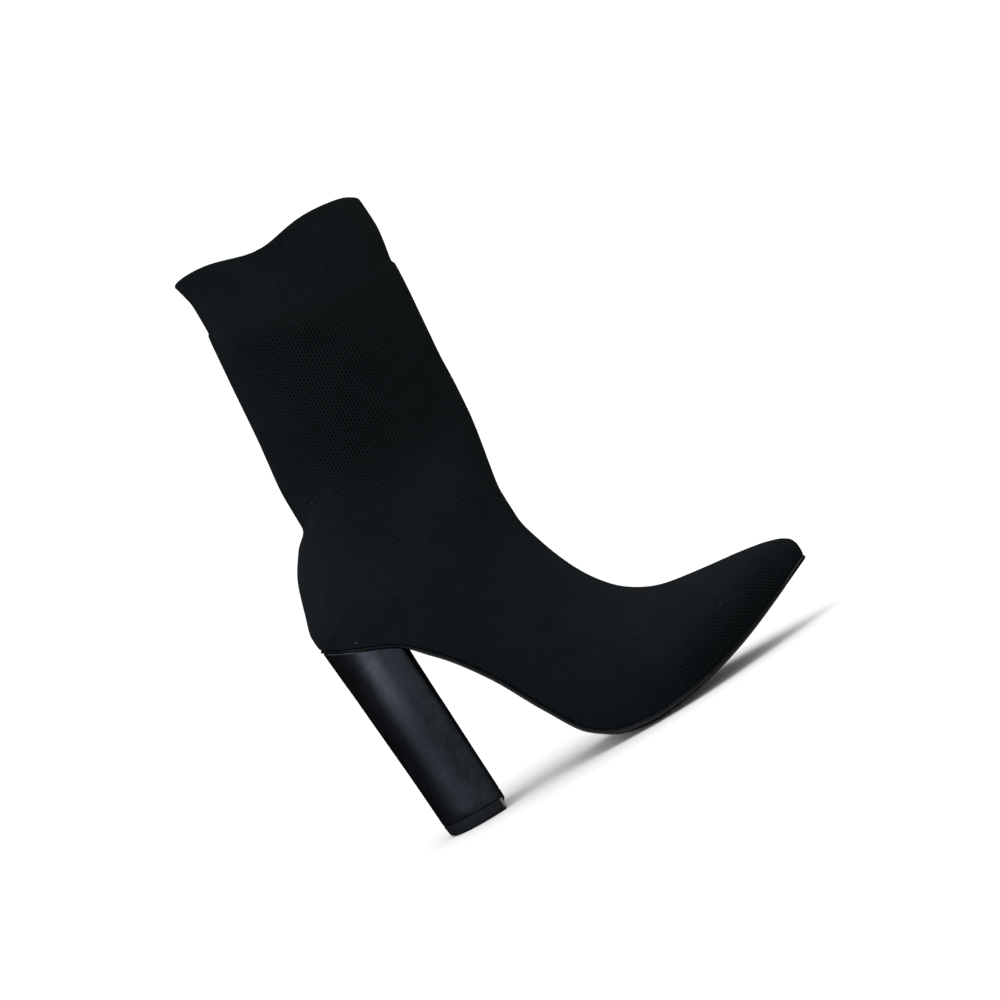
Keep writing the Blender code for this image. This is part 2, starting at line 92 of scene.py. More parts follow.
shaftRows = [  # half width, rise, swell, hang and steps; both sides are the same
    # stiff counter, up to the notch at its top
    (0.8, 108.0, 120.6, 178.0, 30.4, 0.35, 0.70, 0.0, 1),
    (0.2, 114.5, 121.0, 183.5, 30.2, 0.36, 0.64, 0.0, 2),
    (3.4, 126.3, 121.3, 189.0, 30.2, 0.38, 0.58, 0.0, 2),
    (8.6, 141.6, 121.6, 195.5, 30.2, 0.40, 0.55, 0.0, 2),
    (16.0, 153.0, 122.1, 202.0, 30.2, 0.42, 0.55, 0.0, 2),
    (23.3, 162.2, 122.8, 209.0, 30.2, 0.44, 0.55, 0.0, 2),
    # shaft
    (23.3, 178.0, 123.7, 219.0, 30.2, 0.46, 0.55, 0.0, 2),
    (26.7, 209.0, 125.0, 232.0, 30.0, 0.48, 0.55, 1.0, 2),
    (29.4, 239.0, 125.7, 241.0, 29.6, 0.48, 0.55, 3.5, 2),
    (31.9, 262.5, 125.9, 246.8, 29.0, 0.48, 0.55, 7.5, 1),
    # cuff, stepped in at its foot and flaring to the rim
    (32.7, 264.0, 125.1, 249.4, 28.6, 0.48, 0.55, 7.5, 2),
    (32.9, 277.5, 127.7, 268.0, 28.6, 0.48, 0.55, 6.5, 2),
    (30.2, 291.3, 127.0, 284.3, 28.8, 0.48, 0.55, 0.0, 1),
]
shaftFull = 0.55
sections = [Section(*row[:-1], 0.0, row[-1]) for row in footRows]
for *ends, half, rise, swell, sag, steps in shaftRows:
    sections.append(Section(*ends, 0.0, 0.0, half, half, rise, shaftFull, swell, 0.0, sag, steps))
cuffRow = 28  # the cuff starts at this row
rimShares = (0.45, 0.70, 0.85, 0.94, 0.985)  # close rows that round the rim

last = {
    "rowsPerStep": 4,
    "lowColumns": 16,  # round half a section, below and above its widest place
    "highColumns": 28,
    "marginColumns": 3,
    "roundHandle": 0.55,
    "uprightEdge": 22.0,
    "edgeTurn": 0.4,
    "edgeLean": 0.5,
    "sagSkew": 1.5,
    "easeRows": 14,  # rows each way
    "easeFrom": (120.0, 145.0),
    "easeTo": (185.0, 225.0),
    "rimDip": 6.5,
    "rimDipAt": 0.45,
    "rimDipReach": 0.2,
    "rimFrontDip": 0.5,
    "margin": 9.0,  # turned in under the foot
    "marginShare": 0.6,
    "closedBelow": 10.0,
}


def monotoneSlope(before, after):
    # Keeps a curve through table values from overshooting them
    return 2.0 * before * after / (before + after) if before * after > 0.0 else 0.0


def between(values, index, share):
    start, end = values[index], values[index + 1]
    run = end - start
    before = start - values[index - 1] if index > 0 else run
    after = values[index + 2] - end if index + 2 < len(values) else run
    square, cube = share * share, share ** 3
    value = (2 * cube - 3 * square + 1) * start + (cube - 2 * square + share) * monotoneSlope(before, run)
    return value + (3 * square - 2 * cube) * end + (cube - square) * monotoneSlope(run, after)


def fineSections():
    # Many smooth sections between the table's own, and how far each is into the cuff
    columns = list(zip(*sections))
    fine, cuffShares = [], []
    for index, section in enumerate(sections[:-1]):
        steps = section.steps * last["rowsPerStep"]
        for step in range(steps):
            fine.append(Section(*[between(column, index, step / steps) for column in columns]))
            cuffShares.append(step / steps if index == cuffRow - 1 else float(index >= cuffRow))
    for share in rimShares:
        fine.append(Section(*[between(column, index, (step + share) / steps) for column in columns]))
    return fine + [sections[-1]], cuffShares + [1.0] * (len(rimShares) + 1)


def bezier(start, leave, arrive, end, steps):
    points = []
    for step in range(steps + 1):
        t = step / steps
        weights = ((1 - t) ** 3, 3 * t * (1 - t) ** 2, 3 * t * t * (1 - t), t ** 3)
        pairs = list(zip(weights, (start, leave, arrive, end)))
        points.append([sum(weight * corner[axis] for weight, corner in pairs) for axis in (0, 1)])
    return points


def halfSection(section, side):
    # One side as (along, across), from the lower end up to the ridge
    edge = section.edgeOut if side < 0 else section.edgeIn
    wide = section.wideOut if side < 0 else section.wideIn
    length = math.hypot(section.frontX - section.backX, section.frontZ - section.backZ)
    widest = section.rise * length
    turn = 1.0 - last["edgeTurn"] * min(1.0, edge / last["uprightEdge"])
    low = bezier(
        (0.0, edge),
        ((1.0 - turn) * last["edgeLean"] * widest, edge + section.swell * (wide - edge)),
        (widest * (1.0 - last["roundHandle"]), wide), (widest, wide), last["lowColumns"])
    high = bezier(
        (widest, wide),
        (widest + last["roundHandle"] * (length - widest), wide),
        (length, section.full * wide), (length, 0.0), last["highColumns"])
    return low + high[1:], length


def marginHalf(edge):
    if edge < last["closedBelow"]:
        return 0.0
    return edge - min(last["margin"], last["marginShare"] * edge)


def backEases(fine):
    # The counter's notch shows at the back outline and eases off along the sides: how far each section's side
    # shifts towards the mean of its neighbours, in mm
    reach = last["easeRows"]
    eases = []
    for index, section in enumerate(fine):
        near = fine[max(index - reach, 0):index + reach + 1]
        eases.append(sum(other.backX for other in near) / len(near) - section.backX)
    low, high = last["easeFrom"], last["easeTo"]
    return [ease * smoothStep(section.backZ, *low) * (1.0 - smoothStep(section.backZ, *high))
            for ease, section in zip(eases, fine)]


def sideHalf(section, side, nearRim, ease):
    # Points of one side from the margin under the foot to the ridge, each with its place on the knit's chart:
    # the side view in mm, unrolled along each section from where the section is widest
    curve, length = halfSection(section, side)
    edge = section.edgeOut if side < 0 else section.edgeIn
    run = ((section.frontX - section.backX) / length, (section.frontZ - section.backZ) / length)
    inner = marginHalf(edge)
    steps = last["marginColumns"]
    curve = [[0.0, inner + (edge - inner) * step / steps] for step in range(steps)] + curve
    arc = [0.0]
    for before, after in zip(curve, curve[1:]):
        arc.append(arc[-1] + math.dist(before, after))
    widest = steps + last["lowColumns"]
    points = []
    for column, (along, across) in enumerate(curve):
        share = along / length
        z = section.backZ + share * (section.frontZ - section.backZ)
        z -= section.sag * math.sin(math.pi * share ** last["sagSkew"])
        z -= nearRim ** 2 * last["rimDip"] * hump(share, last["rimDipAt"], last["rimDipReach"])
        z -= nearRim ** 4 * last["rimFrontDip"] * smoothStep(share, 0.95, 1.0)
        x = section.backX + share * (section.frontX - section.backX)
        push = ease * smoothStep(share, 0.0, 0.13) * (1.0 - smoothStep(share, 0.3, 0.7))
        x, z = x + run[0] * push, z + run[1] * push
        unrolled = arc[column] - arc[widest] - (along - curve[widest][0])
        points.append({
            "at": (x, section.middle + side * across, z),
            "chart": (x + run[0] * unrolled, z + run[1] * unrolled),
            "up": arc[column] - arc[steps],
            "share": share,
        })
    return points


def sectionRow(section, nearRim, ease):
    outer = sideHalf(section, -1, nearRim, ease)
    inner = sideHalf(section, 1, nearRim, ease)
    return outer + inner[-2::-1]


def gridMesh(shape, rows, mapName=None):
    # A grid of faces moved onto rows of points; a row may close on itself
    if mapName:
        shape.loops.layers.uv.new(mapName)
    made = bmesh.ops.create_grid(shape, x_segments=len(rows[0]) - 1, y_segments=len(rows) - 1, size=1.0)
    for vertex, point in zip(made["verts"], (point for row in rows for point in row)):
        vertex.co = point


def joinSeams(shape, distance=0.02):
    bmesh.ops.remove_doubles(shape, verts=shape.verts, dist=distance * mm)
    bmesh.ops.dissolve_degenerate(shape, edges=shape.edges, dist=distance * mm)
    bmesh.ops.recalc_face_normals(shape, faces=shape.faces)


def newObject(name, shape, looks):
    mesh = bpy.data.meshes.new(name)
    shape.to_mesh(mesh)
    shape.free()
    mesh.materials.append(looks)
    made = bpy.data.objects.new(name, mesh)
    bpy.context.scene.collection.objects.link(made)
    return made


def addPiece(name, shape, looks, node, sharp=40.0):
    piece = newObject(name, shape, looks)
    piece.data.shade_smooth()
    piece.data.set_sharp_from_angle(angle=math.radians(sharp))
    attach(piece, "root")
    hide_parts(node)
    return piece


# Shader helpers
def addNode(tree, kind, values=None, **settings):
    made = tree.nodes.new("ShaderNode" + kind)
    made.location = (190 * len(tree.nodes), 0)
    for name, value in settings.items():
        setattr(made, name, value)
    for key, value in (values or {}).items():
        if isinstance(value, bpy.types.NodeSocket):
            tree.links.new(value, made.inputs[key])
        else:
            made.inputs[key].default_value = value
    return made


def calc(tree, operation, *values):
    return addNode(tree, "Math", dict(enumerate(values)), operation=operation).outputs[0]


def multiply(tree, *values):
    product = values[0]
    for value in values[1:]:
        product = calc(tree, "MULTIPLY", product, value)
    return product


def scaleAdd(tree, value, factor, added):
    return calc(tree, "MULTIPLY_ADD", value, factor, added)


def calcVector(tree, operation, *values):
    made = addNode(tree, "VectorMath", dict(enumerate(values)), operation=operation)
    return made.outputs["Value" if operation in ("LENGTH", "DISTANCE", "DOT_PRODUCT") else "Vector"]


def fade(tree, value, start, end, low=0.0, high=1.0):
    made = addNode(tree, "MapRange", {
        "Value": value, "From Min": start, "From Max": end, "To Min": low, "To Max": high},
        interpolation_type="SMOOTHSTEP")
    return made.outputs["Result"]


def noiseAt(tree, vector, scale, detail, output="Fac"):
    return addNode(tree, "TexNoise", {"Vector": vector, "Scale": scale, "Detail": detail}).outputs[output]


def separate(tree, vector):
    return addNode(tree, "SeparateXYZ", {"Vector": vector}).outputs


def attribute(tree, name):
    return addNode(tree, "Attribute", attribute_name=name).outputs["Fac"]


def turned(tree, vector, angle):
    made = addNode(tree, "VectorRotate", {"Vector": vector, "Angle": angle}, rotation_type="Z_AXIS")
    return made.outputs["Vector"]


def mixColour(tree, factor, first, second, blend="MIX"):
    made = addNode(tree, "Mix", {0: factor, 6: first, 7: second}, data_type="RGBA", blend_type=blend)
    return made.outputs[2]


def newGroup(name, inputs, outputs):
    tree = bpy.data.node_groups.new(name, "ShaderNodeTree")
    for label, value in inputs.items():
        kind = "Vector" if value is None else "Float"
        socket = tree.interface.new_socket(label, in_out="INPUT", socket_type="NodeSocket" + kind)
        if value is not None:
            socket.default_value = value
    for label in outputs:
        tree.interface.new_socket(label, in_out="OUTPUT", socket_type="NodeSocketFloat")
    return tree, tree.nodes.new("NodeGroupInput").outputs, tree.nodes.new("NodeGroupOutput").inputs


def giveOut(tree, result, **values):
    for name, value in values.items():
        tree.links.new(value, result[name])
    return tree


def useGroup(tree, group, values):
    return addNode(tree, "Group", values, node_tree=group).outputs


def newMaterial(name, colour, roughness, specular):
    made = bpy.data.materials.new(name)
    made.use_nodes = True
    made.diffuse_color = (*colour, 1.0)
    shader = made.node_tree.nodes["Principled BSDF"]
    shader.inputs["Roughness"].default_value = roughness
    shader.inputs["Specular IOR Level"].default_value = specular
    return made, made.node_tree, shader


def driftAt(tree, place, looks):
    return useGroup(tree, toneDrift, {"Vector": place, "Size": looks["driftSize"], "Amount": looks["drift"]})


def grainedMaterial(name, colour, roughness, specular, looks):
    # A new material with its place, its slow change of tone and its pebbled grain
    made, tree, shader = newMaterial(name, colour[:3], roughness, specular)
    place = addNode(tree, "TexCoord").outputs["Object"]
    drift = driftAt(tree, place, looks)
    grain = useGroup(tree, pebbleGrain, {"Vector": place, "Size": looks["grain"]})
    return made, tree, shader, place, drift, grain


def linkLooks(tree, shader, colour, roughness, height, strength, depth):
    tree.links.new(colour, shader.inputs["Base Color"])
    tree.links.new(roughness, shader.inputs["Roughness"])
    bump = addNode(tree, "Bump", {"Height": height, "Strength": strength, "Distance": depth})
    tree.links.new(bump.outputs["Normal"], shader.inputs["Normal"])


def toneDriftGroup():
    # Slow change of tone over a surface, about one, and a finer mottle on top
    tree, given, result = newGroup(
        "toneDrift", {"Vector": None, "Size": 0.02, "Amount": 0.1},
        ["Tone", "Mottle"])
    scale = calc(tree, "DIVIDE", 1.0, given["Size"])
    slow = noiseAt(tree, given["Vector"], scale, 2.0)
    fine = noiseAt(tree, given["Vector"], multiply(tree, scale, 7.0), 3.0)
    both = scaleAdd(tree, fine, 0.55, scaleAdd(tree, slow, 0.9, -0.725))
    tone = scaleAdd(tree, both, given["Amount"], 1.0)
    return giveOut(tree, result, Tone=tone, Mottle=fine)


def grainGroup():
    # Fine pebbled grain, as a height
    tree, given, result = newGroup(
        "pebbleGrain", {"Vector": None, "Size": 0.0008}, ["Height", "Pores"])
    scale = calc(tree, "DIVIDE", 1.0, given["Size"])
    cells = addNode(tree, "TexVoronoi", {"Vector": given["Vector"], "Scale": scale}, feature="SMOOTH_F1")
    pores = fade(tree, cells.outputs["Distance"], 0.45, 0.85)
    rough = noiseAt(tree, given["Vector"], multiply(tree, scale, 2.3), 3.0)
    height = calc(tree, "SUBTRACT", multiply(tree, rough, 0.6), multiply(tree, pores, 0.5))
    return giveOut(tree, result, Height=height, Pores=pores)


def fibreGroup():
    # Short loose fibres on a chart in mm
    tree, given, result = newGroup(
        "yarnFibre", {"Chart": None, "Size": 0.3}, ["Fibre"])
    stretched = calcVector(tree, "MULTIPLY", given["Chart"], (1.0, 0.45, 1.0))
    scale = calc(tree, "DIVIDE", 1.0, given["Size"])
    fibre = addNode(tree, "TexNoise", {"Vector": stretched, "Scale": scale, "Detail": 2.0, "Distortion": 0.6})
    return giveOut(tree, result, Fibre=fibre.outputs["Fac"])


def holeKnitGroup():
    # Stretch knit with staggered small holes: holes, the rows that they lie in, and the yarn's height
    tree, given, result = newGroup(
        "holeKnit",
        {"Chart": None, "Spacing": 1.83, "Lean": 0.0, "Wander": 0.8, "Pitch": 1.85, "Slope": 0.27,
         "Bend From": 150.0, "Bend": 0.0049},
        ["Holes", "Courses", "Relief"])
    bend = noiseAt(tree, given["Chart"], 0.07, 1.0, "Color")
    bend = calcVector(tree, "SUBTRACT", bend, (0.5, 0.5, 0.5))
    bend = addNode(tree, "VectorMath", {0: bend, "Scale": given["Wander"]}, operation="SCALE").outputs["Vector"]
    chart = calcVector(tree, "ADD", given["Chart"], bend)
    wide = multiply(tree, given["Spacing"], math.sqrt(3.0))
    cell = addNode(tree, "CombineXYZ", {"X": wide, "Y": given["Spacing"], "Z": 1.0}).outputs["Vector"]
    flatCell = calcVector(tree, "MULTIPLY", cell, (1.0, 1.0, 0.0))
    counted = calcVector(tree, "DIVIDE", turned(tree, chart, given["Lean"]), cell)
    distances = []
    for shift in ((0.5, 0.5, 0.5), (0.0, 0.0, 0.0)):  # the second grid of holes stands between the first
        inCell = calcVector(tree, "FRACTION", calcVector(tree, "ADD", counted, shift))
        away = calcVector(tree, "MULTIPLY", calcVector(tree, "SUBTRACT", inCell, (0.5, 0.5, 0.5)), flatCell)
        away = calcVector(tree, "MULTIPLY", away, (1.0, 0.64, 1.0))  # holes are taller than wide
        distances.append(calcVector(tree, "LENGTH", away))
    nearest = calc(tree, "MINIMUM", *distances)
    nearest = calc(tree, "DIVIDE", nearest, given["Spacing"])
    fray = noiseAt(tree, given["Chart"], 1.3, 1.0)  # uneven edges of the holes
    nearest = calc(tree, "ADD", nearest, scaleAdd(tree, fray, 0.24, -0.12))
    holes = fade(tree, nearest, 0.12, 0.42, 1.0, 0.0)
    relief = fade(tree, nearest, 0.10, 0.50)
    parts = separate(tree, chart)
    ahead = calc(tree, "SUBTRACT", parts["X"], given["Bend From"])
    curved = multiply(tree, calc(tree, "POWER", calc(tree, "MAXIMUM", ahead, 0.0), 2.0), given["Bend"])
    level = calc(tree, "ADD", scaleAdd(tree, ahead, given["Slope"], parts["Y"]), curved)
    turns = calc(tree, "DIVIDE", level, given["Pitch"])
    wave = calc(tree, "COSINE", multiply(tree, turns, 2.0 * math.pi))
    courses = scaleAdd(tree, wave, 0.5, 0.5)
    return giveOut(tree, result, Holes=holes, Courses=courses, Relief=relief)


def ribKnitGroup():
    # Ribs along the shaft, every second one deeper, with the small steps of the stitches on them
    tree, given, result = newGroup(
        "ribKnit", {"Chart": None, "Pitch": 2.35, "Lean": 0.0},
        ["Ribs", "Stitches"])
    chart = calcVector(tree, "ADD", given["Chart"], noiseAt(tree, given["Chart"], 0.05, 1.0, "Color"))
    parts = separate(tree, turned(tree, chart, given["Lean"]))
    turns = multiply(tree, calc(tree, "DIVIDE", parts["X"], given["Pitch"]), 2.0 * math.pi)
    narrow = calc(tree, "COSINE", turns)
    broad = calc(tree, "COSINE", multiply(tree, turns, 0.5))
    patchy = fade(tree, noiseAt(tree, given["Chart"], 0.12, 2.0), 0.3, 0.7, 0.35, 1.0)
    both = scaleAdd(tree, narrow, 0.24, multiply(tree, broad, 0.22))
    ribs = scaleAdd(tree, both, patchy, 0.5)
    steps = calc(tree, "SINE", multiply(tree, parts["Y"], 2.0 * math.pi / 1.1))  # 1.1 mm a stitch
    return giveOut(tree, result, Ribs=ribs, Stitches=scaleAdd(tree, steps, 0.5, 0.5))


print("shader groups")
toneDrift = toneDriftGroup()
pebbleGrain = grainGroup()
yarnFibre = fibreGroup()
holeKnit = holeKnitGroup()
ribKnit = ribKnitGroup()


zoneNames = ("cuff", "tone", "holes", "courses")
knitLook = {
    "dark": (0.0065, 0.0093, 0.0100, 1.0),  # shaft yarn
    "light": (0.0084, 0.0115, 0.0130, 1.0),  # lighter copy of the yarn, mixed in by tone; a little of it in the cuff, and on the counter and the upper vamp it is painted light
    # dark of the holes, also used for the painted shade in the rib troughs and at the cuff's foot
    "holesAndShade": (0.0006, 0.0010, 0.0012, 1.0),
    "lintAndArc": (0.18, 0.19, 0.18, 1.0),
    "driftSize": 0.018,  # m; sizes on the chart below are in mm
    "drift": 0.55,
    "fibre": 0.34,
    "holeSpacing": 1.83,
    "lean": math.radians(4.5),  # the knit's columns lean forward up the shaft
    "ribPitch": 2.35,
    # painted shade in the troughs between the ribs
    "ribShade": 0.36,
    "cuffFoot": 0.7,  # shade in the step at the foot of the cuff
    "holeDepth": 0.00030,
    "ribDepth": 0.00022,
    "lintSpots": ((33.9, 167.9, 0.35, 0.5), (18.3, 102.0, 0.46, 0.7), (173.3, 31.5, 0.40, 0.3)),
    "paleArcMiddle": (0.1075, 0.0, 0.0624),  # middle of a faint pale arc on the vamp's outer side
    "paleArcRadius": 0.02205,
    "paleArcShow": 0.022,
}


def knitMaterial():
    looks = knitLook
    made, tree, shader = newMaterial("blackKnit", looks["dark"][:3], 0.95, 0.06)
    chart = addNode(tree, "UVMap", uv_map="chart").outputs["UV"]
    place = addNode(tree, "TexCoord").outputs["Object"]
    zone = {name: attribute(tree, name) for name in zoneNames}
    knit = useGroup(tree, holeKnit, {"Chart": chart, "Spacing": looks["holeSpacing"], "Lean": looks["lean"]})
    rib = useGroup(tree, ribKnit, {"Chart": chart, "Pitch": looks["ribPitch"], "Lean": looks["lean"]})
    drift = driftAt(tree, place, looks)
    fibre = useGroup(tree, yarnFibre, {"Chart": chart, "Size": looks["fibre"]})["Fibre"]

    body = calc(tree, "SUBTRACT", 1.0, zone["cuff"])
    holes = multiply(tree, knit["Holes"], zone["holes"], body)
    courses = multiply(tree, knit["Courses"], zone["courses"], body)
    # painted shade in the rib troughs and at the cuff's foot joins the dark of the holes and courses
    troughs = multiply(tree, calc(tree, "SUBTRACT", 1.0, rib["Ribs"]), zone["cuff"])
    shade = calc(tree, "MAXIMUM", holes, courses)
    shade = scaleAdd(tree, troughs, looks["ribShade"], shade)
    shade = calc(tree, "ADD", shade, multiply(tree, zone["cuff"], body, looks["cuffFoot"]))
    shade = calc(tree, "MINIMUM", shade, 1.0)

    colour = mixColour(tree, zone["tone"], looks["dark"], looks["light"])
    colour = mixColour(tree, shade, colour, looks["holesAndShade"])
    fleck = fade(tree, fibre, 0.3, 0.75, 0.72, 1.3)
    tone = multiply(tree, drift["Tone"], fleck)
    grey = addNode(tree, "CombineColor", {"Red": tone, "Green": tone, "Blue": tone}).outputs["Color"]
    colour = mixColour(tree, 1.0, colour, grey, "MULTIPLY")
    lintAndArc = 0.0
    for x, z, size, strength in looks["lintSpots"]:
        away = calcVector(tree, "DISTANCE", chart, (x, z, 0.0))
        lintAndArc = calc(tree, "ADD", lintAndArc, fade(tree, away, 0.4 * size, size, strength, 0.0))
    # a faint pale arc on the vamp's outer side, broken by the fibre noise and mixed in with the lint colour
    flat = calcVector(tree, "MULTIPLY", place, (1.0, 0.0, 1.0))
    away = calc(tree, "SUBTRACT", calcVector(tree, "DISTANCE", flat, looks["paleArcMiddle"]), looks["paleArcRadius"])
    parts = separate(tree, place)
    arc = multiply(
        tree,
        fade(tree, calc(tree, "ABSOLUTE", away), 0.0002, 0.0008, 1.0, 0.0),
        fade(tree, parts["X"], 0.095, 0.100),
        fade(tree, parts["Z"], 0.049, 0.053, 1.0, 0.0),
        fade(tree, parts["Y"], -0.010, -0.004, 1.0, 0.0))  # on the outer side only
    lintAndArc = scaleAdd(tree, arc, fade(tree, fibre, 0.35, 0.7, 0.0, looks["paleArcShow"]), lintAndArc)
    colour = mixColour(tree, lintAndArc, colour, looks["lintAndArc"])
    tree.links.new(colour, shader.inputs["Base Color"])
    tree.links.new(fade(tree, fibre, 0.2, 0.8, 0.88, 1.0), shader.inputs["Roughness"])

    yarn = multiply(tree, knit["Relief"], zone["holes"], body)
    yarn = calc(tree, "SUBTRACT", yarn, multiply(tree, courses, 0.8))
    yarn = scaleAdd(tree, fibre, 0.35, yarn)
    first = addNode(tree, "Bump", {"Height": yarn, "Strength": 0.9, "Distance": looks["holeDepth"]})
    ribbed = scaleAdd(tree, rib["Stitches"], 0.15, calc(tree, "SUBTRACT", rib["Ribs"], 0.6))
    ribbed = multiply(tree, ribbed, zone["cuff"])
    second = addNode(tree, "Bump", {
        "Height": ribbed, "Strength": 1.0, "Distance": looks["ribDepth"], "Normal": first.outputs["Normal"]})
    tree.links.new(second.outputs["Normal"], shader.inputs["Normal"])
    return made


liningLook = {
    "colour": (0.010, 0.010, 0.012, 1.0),
    "worn": (0.018, 0.018, 0.020, 1.0),
    "driftSize": 0.02,
    "drift": 0.8,
    "fibre": 0.4,
    "rib": 0.0011,
    "ribDepth": 0.0002,
}


def liningMaterial():
    looks = liningLook
    made, tree, shader = newMaterial("sockLining", looks["colour"][:3], 0.9, 0.1)
    place = addNode(tree, "TexCoord").outputs["Object"]
    drift = driftAt(tree, place, looks)
    inMm = calcVector(tree, "MULTIPLY", place, (1000.0, 1000.0, 1000.0))
    fibre = useGroup(tree, yarnFibre, {"Chart": inMm, "Size": looks["fibre"]})["Fibre"]
    wales = addNode(tree, "TexWave", {"Vector": place, "Scale": 0.3 / looks["rib"], "Distortion": 0.4},
                    bands_direction="Y").outputs["Fac"]
    colour = mixColour(tree, multiply(tree, wales, drift["Mottle"]), looks["colour"], looks["worn"])
    rough = fade(tree, drift["Tone"], 0.8, 1.2, 0.84, 0.98)
    height = scaleAdd(tree, fibre, 0.5, wales)
    linkLooks(tree, shader, colour, rough, height, 0.7, looks["ribDepth"])
    return made


heelLook = {
    "cover": (0.0026, 0.0031, 0.0038, 1.0),
    # lighter, bluish colour for painted sheen and painted edge highlights, mottled like rubbed wear
    "sheenAndRubbed": (0.0225, 0.0272, 0.0345, 1.0),
    "driftSize": 0.011,
    "drift": 0.7,
    "patches": 330.0,  # a metre
    "grain": 0.0007,
    "grainDepth": 0.00006,
}


def coverMaterial():
    looks = heelLook
    made, tree, shader, place, drift, grain = grainedMaterial("heelCover", looks["cover"], 0.36, 0.12, looks)
    shader.inputs["Coat Roughness"].default_value = 0.25
    cloud = fade(tree, drift["Tone"], 0.88, 1.16)
    patches = addNode(
        tree, "TexNoise", {"Vector": place, "Scale": looks["patches"], "Detail": 5.0, "Roughness": 0.65})
    patches = fade(tree, patches.outputs["Fac"], 0.32, 0.70)
    parts = separate(tree, place)
    gloss = fade(tree, parts["Z"], 0.044, 0.108)  # the cover shines towards its top
    gloss = multiply(tree, gloss, fade(tree, patches, 0.0, 1.0, 1.0, 0.6))
    tree.links.new(gloss, shader.inputs["Coat Weight"])
    # painted sheen on the cover's front part, mottled like rubbed wear, and painted highlights from the edge
    # values
    worn = scaleAdd(tree, patches, 0.40, scaleAdd(tree, cloud, 0.25, 0.30))
    worn = multiply(tree, worn, fade(tree, parts["X"], -0.014, 0.010, 0.1, 1.0))
    worn = calc(tree, "MAXIMUM", worn, attribute(tree, "edge"))
    colour = mixColour(tree, worn, looks["cover"], looks["sheenAndRubbed"])
    rough = fade(tree, drift["Tone"], 0.85, 1.15, 0.30, 0.44)
    rough = scaleAdd(tree, grain["Pores"], 0.06, rough)
    linkLooks(tree, shader, colour, rough, grain["Height"], 0.5, looks["grainDepth"])
    return made


soleNames = ("height", "lineAt", "lineOn", "tread")
soleLook = {
    "rubber": (0.0054, 0.0066, 0.0072, 1.0),
    "edge": (0.045, 0.041, 0.040, 1.0),  # painted highlight: a thin pale line along the sole's side
    "dust": (0.030, 0.029, 0.027, 1.0),
    "driftSize": 0.012,
    "drift": 0.9,
    "grain": 0.0011,
    "grainDepth": 0.00015,
}


def soleMaterial():
    looks = soleLook
    made, tree, shader, _, drift, grain = grainedMaterial("blackOutsole", looks["rubber"], 0.6, 0.10, looks)
    height, lineAt, lineOn, tread = [attribute(tree, name) for name in soleNames]
    away = calc(tree, "ABSOLUTE", calc(tree, "SUBTRACT", height, lineAt))
    patchy = fade(tree, drift["Mottle"], 0.3, 0.6, 0.55, 1.0)
    # painted highlight: a thin pale line along the sole's side, broken by the mottle
    highlightLine = multiply(tree, fade(tree, away, 0.07, 0.24, 1.0, 0.0), lineOn, patchy)
    scuff = multiply(tree, fade(tree, drift["Mottle"], 0.5, 0.75), tread)
    colour = mixColour(tree, scuff, looks["rubber"], looks["dust"])
    colour = mixColour(tree, highlightLine, colour, looks["edge"])
    rough = scaleAdd(tree, tread, 0.25, fade(tree, drift["Tone"], 0.8, 1.2, 0.40, 0.55))
    relief = multiply(tree, grain["Height"], scaleAdd(tree, tread, 0.8, 0.2))
    linkLooks(tree, shader, colour, rough, relief, 0.6, looks["grainDepth"])
    return made


tipLook = {
    "rubber": (0.0040, 0.0048, 0.0064, 1.0),
    "scuffed": (0.0105, 0.0122, 0.0148, 1.0),
    "sanded": (0.26, 0.24, 0.22, 1.0),
    "driftSize": 0.006,
    "drift": 0.8,
    "grain": 0.0006,
    "grainDepth": 0.00010,
}


def tipMaterial():
    looks = tipLook
    made, tree, shader, _, drift, grain = grainedMaterial("tipRubber", looks["rubber"], 0.6, 0.16, looks)
    colour = mixColour(tree, fade(tree, drift["Mottle"], 0.35, 0.7), looks["rubber"], looks["scuffed"])
    colour = mixColour(tree, attribute(tree, "corner"), colour, looks["sanded"])
    rough = fade(tree, drift["Tone"], 0.8, 1.2, 0.52, 0.72)
    linkLooks(tree, shader, colour, rough, grain["Height"], 0.6, looks["grainDepth"])
    return made


# Upper
upperLook = {
    "wall": 1.8,
    "cuffWall": 2.4,
    "toeWallShare": 0.45,
    "toeThinning": 13.0,
    "rimRound": 0.9,  # outer corner of the rim, and more of it at the shin
    "rimRoundFront": 2.0,
    "nose": 1.1,  # fullness of the toe's very tip
    "rimReach": 24.0,  # height below the rim that follows its dip
    "steadyEdge": (1.5, 9.0),  # nothing moves the edge that meets the sole
    "cuffTone": 0.15,
    "waviness": 0.22,  # slow unevenness of the knit, mm
    "wavinessSize": 0.022,  # m
}

